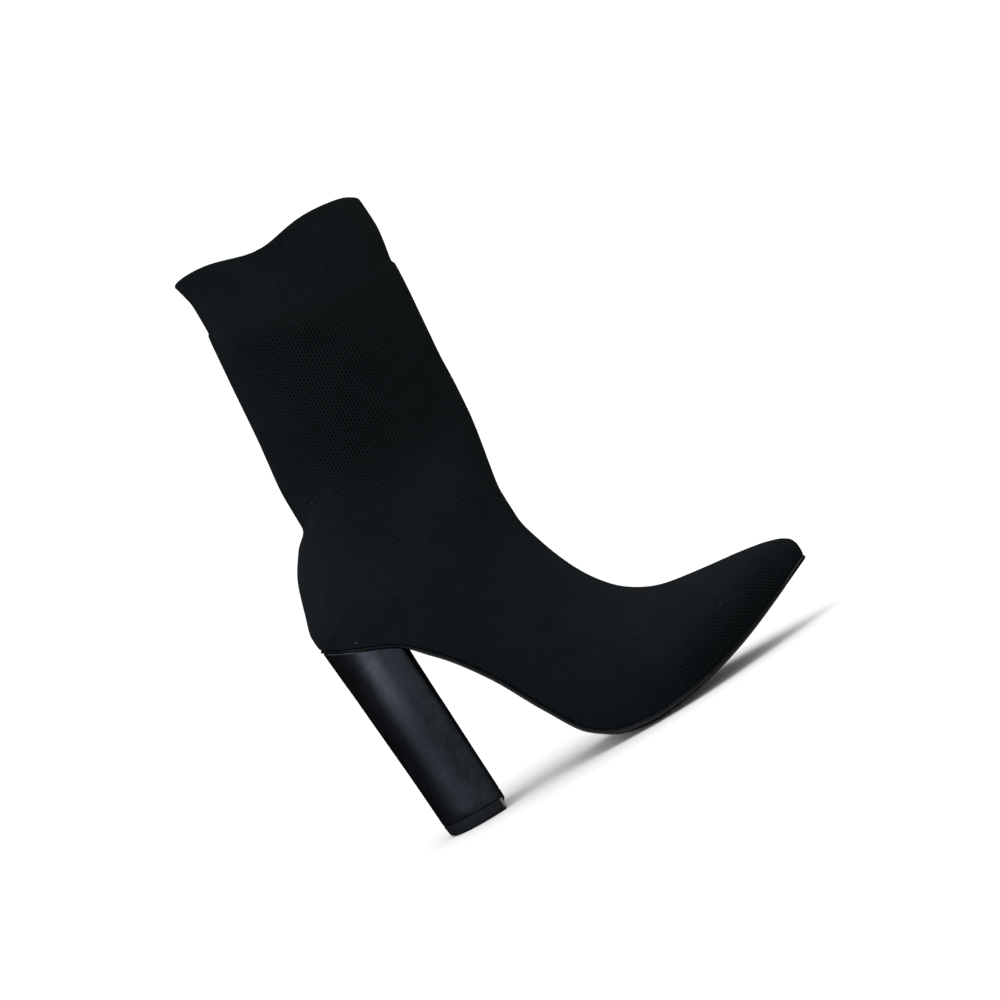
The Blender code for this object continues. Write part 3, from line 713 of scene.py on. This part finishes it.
# Soft troughs (negative) and ridges, each along a line seen from the side: its two ends, how wide it is,
# how high in mm, and how strong it is on the inner side of the foot
Crease = namedtuple("Crease", "fromX fromZ toX toZ width height inner")
creases = [Crease(*row) for row in (
    (20.5, 163.0, 31.0, 158.5, 2.8, -0.60, 0.8),  # top edge of the counter
    (33.0, 172.0, 66.0, 187.0, 9.0, 0.50, 1.0),  # eases the shaft into the counter
    (16.0, 153.0, 33.0, 147.0, 8.0, 0.25, 1.0),  # counter's fullness below its edge
    (90.0, 124.0, 107.0, 102.0, 7.5, -0.55, 0.8),  # hollow in front of the ankle
    (78.0, 108.0, 112.0, 84.0, 8.0, 0.45, 0.6),  # fold over the instep
    (60.0, 176.0, 96.0, 163.0, 9.0, -0.12, 1.0),
    (58.0, 158.0, 100.0, 150.0, 10.0, 0.15, 1.0),
    (92.0, 237.0, 121.0, 236.0, 5.0, -0.45, 1.0),  # slack under the cuff's front
    (112.0, 60.0, 138.0, 44.0, 7.0, -0.30, 1.0),  # flex of the vamp
    (120.0, 70.0, 148.0, 50.0, 6.0, 0.22, 1.0),
    (50.0, 232.0, 90.0, 226.0, 9.0, -0.15, 1.0),  # slack waves across the shaft
    (44.0, 212.0, 90.0, 206.0, 9.0, 0.15, 1.0),
)]


def creaseHeight(x, z, side):
    total = 0.0
    for crease in creases:
        alongX = crease.toX - crease.fromX
        alongZ = crease.toZ - crease.fromZ
        share = ((x - crease.fromX) * alongX + (z - crease.fromZ) * alongZ) / (alongX ** 2 + alongZ ** 2)
        held = min(max(share, 0.0), 1.0)
        away = math.hypot(x - crease.fromX - held * alongX, z - crease.fromZ - held * alongZ)
        fading = 1.0 - 0.75 * held
        strength = crease.inner if side > 0 else 1.0
        total += crease.height * fading * strength * hump(away, 0.0, crease.width)
    return total


# Where the knit changes, as from and to in mm
zoneRange = {
    "counterTop": (-4.0, 16.0),
    "counterHoles": (40.0, 80.0),
    "counterTone": (30.0, 100.0),
    "shaftFoot": (150.0, 185.0),
    "cuffBack": (32.0, 97.0),
    "cuffFront": (97.0, 126.0),
    "underCuff": (1.0, 15.0),
    "underCuffAhead": (60.0, 90.0),
    # painted shade under the cuff's front
    "shadeUnderCuffFront": (62.0, 104.0),
    "ball": (84.0, 112.0),
    "toe": (196.0, 216.0),
    "coursesAhead": (120.0, 165.0),
    "coursesUp": (6.0, 27.0),
    "vampBack": (60.0, 110.0),
    "vampUp": (6.0, 34.0),
    "vampFront": (125.0, 185.0),
}


def knitZones(at, up, share):
    # Strength of the holes, of the lines beside the sole, and how light the knit is painted; the tone holds
    # painted light on the counter and the upper vamp and painted shade under the cuff
    def within(value, name):
        return smoothStep(value, *zoneRange[name])

    x, _, z = at
    counter = within(160.0 - z - 0.55 * (x - 23.0), "counterTop")
    onShaft = within(z, "shaftFoot")
    cuffFoot = 264.0 - 21.0 * within(x, "cuffBack") + 4.0 * within(x, "cuffFront")
    nearCuff = 1.0 - within(cuffFoot - z, "underCuff")
    holes = 0.50 + 0.50 * onShaft * hump(share, 0.42, 0.42) - 0.10 * counter * (1.0 - within(x, "counterHoles"))
    holes *= 1.0 - (0.6 - 0.3 * within(x, "underCuffAhead")) * nearCuff
    ball = within(x, "ball") * (1.0 - 0.4 * within(x, "toe"))
    courses = (0.45 + 0.35 * within(x, "coursesAhead")) * ball * (1.0 - within(up, "coursesUp"))
    # painted light: the counter's upper back and the vamp away from the sole are made lighter, as if lit from
    # above
    heelCup = counter * (1.0 - within(x, "counterTone"))
    vamp = hump(z, 62.0, 45.0) * within(x, "vampBack") * within(up, "vampUp")
    vamp *= 1.0 - 0.8 * within(x, "vampFront")
    # painted shade: a dark band under the cuff's front, and the tone lowered all round just under the cuff
    shadeUnderCuffFront = hump(z - 241.0 + 0.04 * (x - 110.0), 0.0, 9.0) * within(x, "shadeUnderCuffFront")
    tone = 0.22 + 0.55 * heelCup + 0.45 * vamp + 0.25 * (1.0 - onShaft) - 0.6 * shadeUnderCuffFront - 0.3 * nearCuff
    return holes, courses, min(max(tone, 0.0), 1.0)


def wallAt(section, cuff):
    nearTip = 1.0 - smoothStep(sections[0].backX - section.backX, 0.0, upperLook["toeThinning"])
    knitWall = upperLook["wall"] * (1.0 - (1.0 - upperLook["toeWallShare"]) * nearTip)
    return knitWall + (upperLook["cuffWall"] - knitWall) * cuff


def knitPoints(fine, cuffShares):
    rows = []
    for section, cuff, ease in zip(fine, cuffShares, backEases(fine)):
        away = math.dist((section.frontX, section.frontZ), (fine[-1].frontX, fine[-1].frontZ))
        row = sectionRow(section, max(0.0, 1.0 - away / upperLook["rimReach"]), ease)
        for point in row:
            point.update(toRim=away, cuff=cuff, wall=wallAt(section, cuff))
        rows.append(row)
    return rows


def paintKnit(shape, points):
    # The knit's zones, its wall as a weight and its chart
    for name in zoneNames:
        shape.verts.layers.float.new(name)
    weights = shape.verts.layers.deform.verify()
    zones = [shape.verts.layers.float[name] for name in zoneNames]
    chart = shape.loops.layers.uv["chart"]
    for vertex, point in zip(shape.verts, points):
        holes, courses, tone = knitZones(point["at"], point["up"], point["share"])
        tone += (upperLook["cuffTone"] - tone) * point["cuff"]
        for zone, value in zip(zones, (point["cuff"], tone, holes, courses)):
            vertex[zone] = value
        vertex[weights][0] = point["wall"] / upperLook["cuffWall"]
        for loop in vertex.link_loops:
            loop[chart].uv = point["chart"]


def shapeKnit(shape, points, probe):
    # Creases, unevenness and the rounded rim along the normals, and a fuller tip; probe lies on the outer side
    bmesh.ops.recalc_face_normals(shape, faces=shape.faces)
    shape.normal_update()
    shape.verts.ensure_lookup_table()
    outward = 1.0 if shape.verts[probe].normal.y < 0.0 else -1.0
    moves = []
    for vertex, point in zip(shape.verts, points):
        x, y, z = point["at"]
        uneven = noise.noise(vertex.co / upperLook["wavinessSize"]) * upperLook["waviness"]
        onCentre = 0.4 + 0.6 * min(abs(y) / 12.0, 1.0)
        height = smoothStep(point["up"], *upperLook["steadyEdge"]) * onCentre * (creaseHeight(x, z, y) + uneven)
        corner = upperLook["rimRound"] + upperLook["rimRoundFront"] * smoothStep(point["share"], 0.9, 1.0)
        into = max(0.0, 1.0 - point["toRim"] / corner)
        height -= corner * (1.0 - math.sqrt(1.0 - into * into))
        moves.append(vertex.normal * outward * mm * height)
    for vertex, point, move in zip(shape.verts, points, moves):
        x, y, z = point["at"]
        vertex.co += move
        vertex.co.x += upperLook["nose"] * mm * smoothStep(x, 212.0, 220.0) * hump(z, 31.0, 7.0)


def makeUpper(fine, cuffShares):
    rows = knitPoints(fine, cuffShares)
    points = [point for row in rows for point in row]
    columns = len(rows[0])
    shape = bmesh.new()
    gridMesh(shape, [[spot(*point["at"]) for point in row] for row in rows], "chart")
    paintKnit(shape, points)
    shapeKnit(shape, points, columns * (len(rows) - 6) + columns // 4)
    joinSeams(shape)
    piece = addPiece("knitUpper", shape, knitMaterial(), "upper", 60.0)
    piece.vertex_groups.new(name="wall")
    wall = piece.modifiers.new("wall", "SOLIDIFY")
    wall.thickness = upperLook["cuffWall"] * mm
    wall.offset = -1.0
    wall.use_rim = True
    wall.vertex_group = "wall"


# Outsole
soleShape = {
    "edge": 2.2,
    "seatSheet": 1.3,
    "reach": 0.6,
    "seatInset": 1.5,
    "seatFrontX": 36.0,
    "seatBlend": 12.0,
    "belly": 3.1,
    "treadX": 120.0,
    "reachBack": 34.0,
    "reachFront": 90.0,
    "flatShare": 0.34,
    "corner": 0.38,
    "columns": 15,
    "bellyPower": 1.85,
    "lineLow": 0.10,  # height of the painted highlight line on the sole's side, and its rise at the toe
    "lineRise": 0.72,
    "lineRiseX": (200.0, 214.0),
    "lineFromX": (36.0, 50.0),
}


def footLine(fine):
    # The sections that carry the sole, from the toe tip to the back of the heel seat
    ends = [index for index, section in enumerate(fine) if index > 1 and section.edgeOut <= 0.0]
    return fine[:ends[0] + 1]


def seamNormals(foot):
    normals = []
    for index in range(len(foot)):
        before, after = foot[max(index - 1, 0)], foot[min(index + 1, len(foot) - 1)]
        runX, runZ = before.backX - after.backX, before.backZ - after.backZ
        length = math.hypot(runX, runZ)
        normals.append((-runZ / length, runX / length))
    return normals


def seatBlend(x, atSeat, ahead):
    blend = smoothStep(x, soleShape["seatFrontX"], soleShape["seatFrontX"] + soleShape["seatBlend"])
    return atSeat + (ahead - atSeat) * blend


def soleStations(foot):
    # Top and bottom of the sole at each section, with its middle and half widths
    stations = []
    for index, (section, normal) in enumerate(zip(foot, seamNormals(foot))):
        x = section.backX
        reach = seatBlend(x, -soleShape["seatInset"], soleShape["reach"])
        out, inner = max(section.edgeOut + reach, 0.0), max(section.edgeIn + reach, 0.0)
        if index in (0, len(foot) - 1):
            out = inner = 0.0
            x += (reach if index == 0 else -reach) * normal[1]
        z = section.backZ - (x - section.backX) * normal[0] / normal[1]
        thick = seatBlend(section.backX, soleShape["seatSheet"], soleShape["edge"])
        top = (x - gap * normal[0], z - gap * normal[1])
        bottom = (top[0] - thick * normal[0], top[1] - thick * normal[1])
        stations.append((top, bottom, section.middle, out, inner))
    return stations


def soleRing(station):
    # One ring across the sole with small cut corners; each point also has its height on the sole's side,
    # where the painted highlight line runs there, and whether it is on the tread
    top, bottom, middle, out, inner = station
    reach = soleShape["reachFront"] if bottom[0] > soleShape["treadX"] else soleShape["reachBack"]
    belly = soleShape["belly"] * max(0.0, 1.0 - ((bottom[0] - soleShape["treadX"]) / reach) ** 2)
    corner = soleShape["corner"]
    steps = soleShape["columns"] - 1
    shares = [2.0 * step / steps - 1.0 for step in range(steps + 1)]
    rising = smoothStep(bottom[0], *soleShape["lineRiseX"])
    lineOn = smoothStep(bottom[0], *soleShape["lineFromX"])
    highlightLine = (soleShape["lineLow"] + soleShape["lineRise"] * rising, lineOn)
    flat = soleShape["flatShare"]
    rise = [((top[axis] - bottom[axis]) * corner / soleShape["edge"]) for axis in (0, 1)]

    def half(share, cut):
        side = out if share < 0 else inner
        return share * max(side - cut, 0.0)

    ring = []
    for share in shares:
        drop = 1.0 - max(0.0, (abs(share) - flat) / (1.0 - flat)) ** soleShape["bellyPower"]
        z = max(bottom[1] - drop * belly, 0.0)
        ring.append(((bottom[0], middle + half(share, corner), z), -0.1 - 3.0 * (1.0 - abs(share)), *highlightLine, 1.0))
    sides = ((bottom, 1.0, 0.0), (top, -1.0, 1.0))
    for place, way, height in sides:
        point = (place[0] + way * rise[0], middle + half(1.0, 0.0), place[1] + way * rise[1])
        ring.append((point, height, *highlightLine, 0.0))
    for share in shares[::-1]:
        ring.append(((top[0], middle + half(share, corner), top[1]), 1.2, *highlightLine, 0.0))
    for place, way, height in sides[::-1]:
        point = (place[0] + way * rise[0], middle + half(-1.0, 0.0), place[1] + way * rise[1])
        ring.append((point, height, *highlightLine, 0.0))
    return ring + ring[:1]


def paintPoints(shape, points, names):
    for name in names:
        shape.verts.layers.float.new(name)
    layers = [shape.verts.layers.float[name] for name in names]
    for vertex, values in zip(shape.verts, points):
        for layer, value in zip(layers, values):
            vertex[layer] = value


def makeOutsole(stations):
    rings = [soleRing(station) for station in stations]
    shape = bmesh.new()
    gridMesh(shape, [[spot(*point[0]) for point in ring] for ring in rings])
    paintPoints(shape, [point[1:] for ring in rings for point in ring], soleNames)
    joinSeams(shape)
    addPiece("outsoleSheet", shape, soleMaterial(), "outsole", 50.0)


# Insole board with its sock lining
insoleShape = {
    "thick": 2.0,
    "clear": 0.6,
    "toeX": 205.0,
    "heelX": 9.0,
    "round": 11.0,
    "crown": 0.5,
    "columns": 9,
}


def insoleRing(section, normal):
    sizes = insoleShape
    x = section.backX
    share = min(max(min(sizes["toeX"] - x, x - sizes["heelX"]) / sizes["round"], 0.0), 1.0)
    rounding = math.sqrt(1.0 - (1.0 - share) ** 2)
    inset = upperLook["wall"] + sizes["clear"]
    low = upperLook["wall"] + gap
    shares = [2.0 * step / (sizes["columns"] - 1) - 1.0 for step in range(sizes["columns"])]
    ring = []
    for height, crown, order in ((low, 0.0, shares), (low + sizes["thick"], sizes["crown"], shares[::-1])):
        for share in order:
            half = ((section.edgeOut if share < 0 else section.edgeIn) - inset) * rounding
            lift = height - crown * abs(share) ** 3
            y = section.middle + share * half
            ring.append(spot(x + lift * normal[0], y, section.backZ + lift * normal[1]))
    return ring + ring[:1]


def makeInsole(foot):
    sizes = insoleShape
    inside = [section for section in foot if sizes["heelX"] < section.backX < sizes["toeX"]]
    ends = []
    for x in (sizes["toeX"], sizes["heelX"]):
        for first, second in zip(foot, foot[1:]):
            if second.backX <= x <= first.backX:
                share = (first.backX - x) / (first.backX - second.backX)
                ends.append(Section(*[a + share * (b - a) for a, b in zip(first, second)]))
                break
    used = [ends[0]] + inside + [ends[-1]]
    shape = bmesh.new()
    gridMesh(shape, [insoleRing(section, normal) for section, normal in zip(used, seamNormals(used))])
    joinSeams(shape)
    addPiece("sockInsole", shape, liningMaterial(), "insole")


# Heel block: height as a share, back and front on the centre line, half width
HeelLevel = namedtuple("HeelLevel", "share backX frontX half")
heelLevels = [HeelLevel(*row) for row in (
    (0.00, 8.0, 38.8, 18.8),
    (0.25, 6.6, 38.1, 19.0),
    (0.50, 4.9, 37.4, 19.6),
    (0.75, 3.2, 36.6, 20.8),
    (0.90, 1.9, 36.1, 22.2),
    (1.00, 1.1, 35.9, 23.6),
)]
heelShape = {
    "tipHeight": 6.0,
    "tipReach": 0.05,
    "tipRound": 1.5,
    "tipLean": 0.8,  # its back goes on with the heel's slope
    "grooveInset": 0.30,
    "outerCorner": 1.1,  # the breast's outer corner stands further forward
    "grooveHalf": 0.5,
    "widestShare": 0.68,
    "corner": 2.2,
    "sideTaper": 0.8,
    "hollow": 1.0,
    "seatSlope": 0.45,
    "roundSteps": 20,
    "sideSteps": 6,
    "cornerSteps": 4,
    "breastSteps": 6,
    "levelSteps": 5,
    "lip": 0.45,
    "coverTall": 95.0,
    "tipProfile": 4,
    "tipShoulder": 0.2,
    "sandedX": (38.7, 39.3),  # pale sanded corner of the top piece, beside the breast
    "sandedY": (14.0, 15.5),
}


def heelOutline(level, grow):
    # D-shaped plan: round back, nearly straight sides, small corners, hollow breast; from the back point
    # round the outer side to the middle of the breast and back on the inner side
    sizes = heelShape
    backX, frontX, half = level.backX - grow, level.frontX + grow, level.half + grow
    widestX = backX + sizes["widestShare"] * (frontX - backX)
    side = []
    for step in range(sizes["roundSteps"] + 1):
        angle = 0.5 * math.pi * step / sizes["roundSteps"]
        side.append((widestX - (widestX - backX) * math.cos(angle), half * math.sin(angle)))
    corner, cornerHalf = sizes["corner"], half - sizes["sideTaper"]
    for step in range(1, sizes["sideSteps"]):
        share = step / sizes["sideSteps"]
        side.append((widestX + share * (frontX - corner - widestX), half - sizes["sideTaper"] * share ** 2))
    for step in range(sizes["cornerSteps"] + 1):
        angle = 0.5 * math.pi * step / sizes["cornerSteps"]
        y = cornerHalf - corner + corner * math.cos(angle)
        side.append((frontX - corner + corner * math.sin(angle), y))
    for step in range(1, sizes["breastSteps"] + 1):
        share = 1.0 - step / sizes["breastSteps"]
        side.append((frontX - sizes["hollow"] * (1.0 - share ** 2), share * (cornerHalf - corner)))
    outer = []
    for x, y in side:
        forward = smoothStep(x, widestX, frontX) * y / half
        outer.append((x + sizes["outerCorner"] * forward, -y))
    return outer + side[-2:0:-1]


def seatHeight(stations, x):
    # Underside of the sole over the heel
    for front, back in zip(stations, stations[1:]):
        if back[1][0] <= x <= front[1][0]:
            share = (x - back[1][0]) / (front[1][0] - back[1][0])
            return back[1][1] + share * (front[1][1] - back[1][1])
    (lowX, lowZ), (highX, highZ) = stations[-2][1], stations[-1][1]
    return highZ + (x - highX) / (lowX - highX) * (lowZ - highZ)


def heelLevelAt(share):
    columns = list(zip(*heelLevels))
    for index in range(len(heelLevels) - 1):
        if share <= heelLevels[index + 1].share:
            run = heelLevels[index + 1].share - heelLevels[index].share
            share = (share - heelLevels[index].share) / run
            return HeelLevel(*[between(column, index, share) for column in columns])
    return heelLevels[-1]


def heelMesh(rings, values, layer):
    # Rings stacked up to a closed block, with one painted value a point
    shape = bmesh.new()
    gridMesh(shape, [ring + ring[:1] for ring in rings])
    paintPoints(shape, [(value,) for value in values], (layer,))
    joinSeams(shape)
    bmesh.ops.holes_fill(shape, edges=[edge for edge in shape.edges if edge.is_boundary], sides=0)
    bmesh.ops.recalc_face_normals(shape, faces=shape.faces)
    return shape


def cornerAway(point, level):
    # How far a point of the plan is from the middle of the rounded corner beside the breast
    inset = 0.3 * heelShape["corner"]
    skew = heelShape["outerCorner"] if point[1] < 0.0 else 0.0
    corner = (level.frontX - inset + skew, level.half - heelShape["sideTaper"] - inset)
    return math.dist((point[0], abs(point[1])), corner)


def makeHeel(stations):
    sizes = heelShape
    bottomZ = sizes["tipHeight"] + 0.5 * gap
    steps = sizes["levelSteps"] * (len(heelLevels) - 1)
    lipShare = sizes["lip"] / sizes["coverTall"]
    shares = [step / steps for step in range(steps)] + [1.0 - 2.4 * lipShare, 1.0 - lipShare, 1.0]
    rings, values = [], []
    rings.append([spot(x, y, bottomZ) for x, y in heelOutline(heelLevels[0], -sizes["grooveInset"])])
    values += [0.0] * (len(rings[0]) + 1)
    for share in shares:
        level = heelLevelAt(share)
        shrink = -sizes["lip"] if share == 1.0 else 0.0
        plan = heelOutline(level, shrink)
        ring = []
        for x, y in plan:
            low = bottomZ + sizes["grooveHalf"]
            high = seatHeight(stations, x) - gap / math.cos(math.atan(sizes["seatSlope"]))
            ring.append(spot(x, y, low + share * (high - low)))
        rings.append(ring)
        # edge values are painted highlights: the lip under the seat, the front of the groove's upper edge and
        # the breast's corners
        top = 0.6 if share > 1.0 - 1.5 * lipShare else 0.0
        for point in plan + plan[:1]:
            foot = 0.5 * smoothStep(point[0], 14.0, 28.0) if share == 0.0 else 0.0
            values.append(max(top, foot, 0.9 * hump(cornerAway(point, level), 0.0, 0.55)))
    shape = heelMesh(rings, values, "edge")
    addPiece("heelBlock", shape, coverMaterial(), "heel", 35.0)


def makeHeelTip():
    sizes = heelShape
    level = heelLevels[0]
    topZ = sizes["tipHeight"] - 0.5 * gap
    profile = []
    for step in range(sizes["tipProfile"] + 1):
        angle = 0.5 * math.pi * step / sizes["tipProfile"]
        profile.append((sizes["tipRound"] * (1.0 - math.cos(angle)),
                        sizes["tipReach"] - sizes["tipRound"] * (1.0 - math.sin(angle))))
    profile += [
        (topZ - sizes["grooveHalf"], sizes["tipReach"]),
        (topZ - sizes["tipShoulder"], 0.0),
        (topZ, -sizes["grooveInset"])]
    rings, values = [], []
    for z, grow in profile:
        plan = heelOutline(level, grow)
        lean = sizes["tipLean"] * (1.0 - z / topZ)
        plan = [(x + lean * (1.0 - smoothStep(x, level.backX, level.frontX)), y) for x, y in plan]
        rings.append([spot(x, y, z) for x, y in plan])
        tall = smoothStep(z, 0.8, 1.4) * (1.0 - smoothStep(z, topZ - 0.6, topZ))
        values += [tall * smoothStep(x, *sizes["sandedX"]) * smoothStep(-y, *sizes["sandedY"])
                   for x, y in plan + plan[:1]]
    shape = heelMesh(rings, values, "corner")
    addPiece("heelTopPiece", shape, tipMaterial(), "heel_tip", 35.0)


# Studio
studio = {
    "cameraAt": (0.0873, -1.0, 0.125),
    "roll": 31.0,
    "lens": 75.79,
    "sensor": 36.0,
    "background": 1.12,
    "floorTone": 0.90,
    "floorSize": 6.0,
    "skyHigh": 1.20,
    "skyLow": 0.52,
    "frontAim": (0.10, -0.995, 0.0),
    "sideAim": (-0.56, -0.83, 0.0),
    "mirrorTint": (0.78, 0.91, 1.16, 1.0),
}
Lamp = namedtuple("Lamp", "name place aim size power colour")
lamps = [
    Lamp("sideBox", (-1.08, -0.72, 0.42), (0.02, 0.0, 0.12), (0.30, 0.9), 2.5, (0.86, 0.94, 1.0)),
    Lamp("topBox", (0.0, -0.35, 1.5), (0.06, 0.0, 0.1), (1.0, 1.0), 6.0, (1.0, 1.0, 1.0)),
]


def addCamera():
    roll = math.radians(studio["roll"])
    right = Vector((math.cos(roll), 0.0, -math.sin(roll)))
    up = Vector((math.sin(roll), 0.0, math.cos(roll)))
    turn = Matrix((right, up, right.cross(up))).transposed().to_4x4()
    view = bpy.data.cameras.new("productView")
    view.lens = studio["lens"]
    view.sensor_width = studio["sensor"]
    holder = bpy.data.objects.new("productView", view)
    holder.matrix_world = Matrix.Translation(Vector(studio["cameraAt"])) @ turn
    bpy.context.scene.collection.objects.link(holder)
    bpy.context.scene.camera = holder


def addLamp(lamp):
    light = bpy.data.lights.new(lamp.name, "AREA")
    light.shape = "RECTANGLE"
    light.size, light.size_y = lamp.size
    light.energy = lamp.power
    light.color = lamp.colour
    holder = bpy.data.objects.new(lamp.name, light)
    holder.rotation_euler = (Vector(lamp.aim) - Vector(lamp.place)).to_track_quat("-Z", "Y").to_euler()
    holder.location = lamp.place
    holder.visible_camera = False
    bpy.context.scene.collection.objects.link(holder)


def addSky():
    # White to the camera, softer from below for diffuse light, and three soft boxes for what the boot mirrors
    world = bpy.data.worlds.new("studioSky")
    world.use_nodes = True
    tree = world.node_tree
    background = tree.nodes["Background"]
    direction = addNode(tree, "TexCoord").outputs["Generated"]
    parts = separate(tree, direction)
    rays = addNode(tree, "LightPath").outputs
    soft = fade(tree, parts["Z"], -0.5, 0.8, studio["skyLow"], studio["skyHigh"])
    front = calcVector(tree, "DOT_PRODUCT", direction, studio["frontAim"])
    front = fade(tree, front, 0.62, 0.98, 0.0, 0.36)
    above = fade(tree, parts["Z"], 0.45, 0.95, 0.0, 0.9)
    side = calcVector(tree, "DOT_PRODUCT", direction, studio["sideAim"])
    side = fade(tree, side, 0.86, 0.99, 0.0, 2.9)
    mirrored = calc(tree, "ADD", calc(tree, "ADD", front, above), side)
    seen = addNode(tree, "Mix", {0: rays["Is Glossy Ray"], 2: soft, 3: mirrored}).outputs[0]
    seen = addNode(tree, "Mix", {0: rays["Is Camera Ray"], 2: seen, 3: studio["background"]}).outputs[0]
    tree.links.new(seen, background.inputs["Strength"])
    tint = mixColour(tree, rays["Is Glossy Ray"], (1.0, 1.0, 1.0, 1.0), studio["mirrorTint"])
    tree.links.new(tint, background.inputs["Color"])
    bpy.context.scene.world = world


def addFloor():
    shape = bmesh.new()
    bmesh.ops.create_grid(shape, x_segments=1, y_segments=1, size=0.5 * studio["floorSize"])
    bmesh.ops.translate(shape, verts=shape.verts, vec=(0.0, 0.0, -0.0002))
    tone = (studio["floorTone"],) * 3
    made, _, shader = newMaterial("paleFloor", tone, 0.9, 0.0)
    shader.inputs["Base Color"].default_value = (*tone, 1.0)
    floor = newObject("studioFloor", shape, made)
    floor.visible_diffuse = False
    floor.visible_glossy = False


def buildStudio():
    addCamera()
    addSky()
    addFloor()
    for lamp in lamps:
        addLamp(lamp)
    bpy.context.scene.view_settings.view_transform = "Standard"
    bpy.context.scene.view_settings.look = "None"


buildStudio()
print("camera, floor and lights")

fine, cuffShares = fineSections()
foot = footLine(fine)
stations = soleStations(foot)
makeUpper(fine, cuffShares)
print("knit upper")
makeOutsole(stations)
makeInsole(foot)
print("outsole and insole")
makeHeel(stations)
makeHeelTip()
print("heel block and top piece")
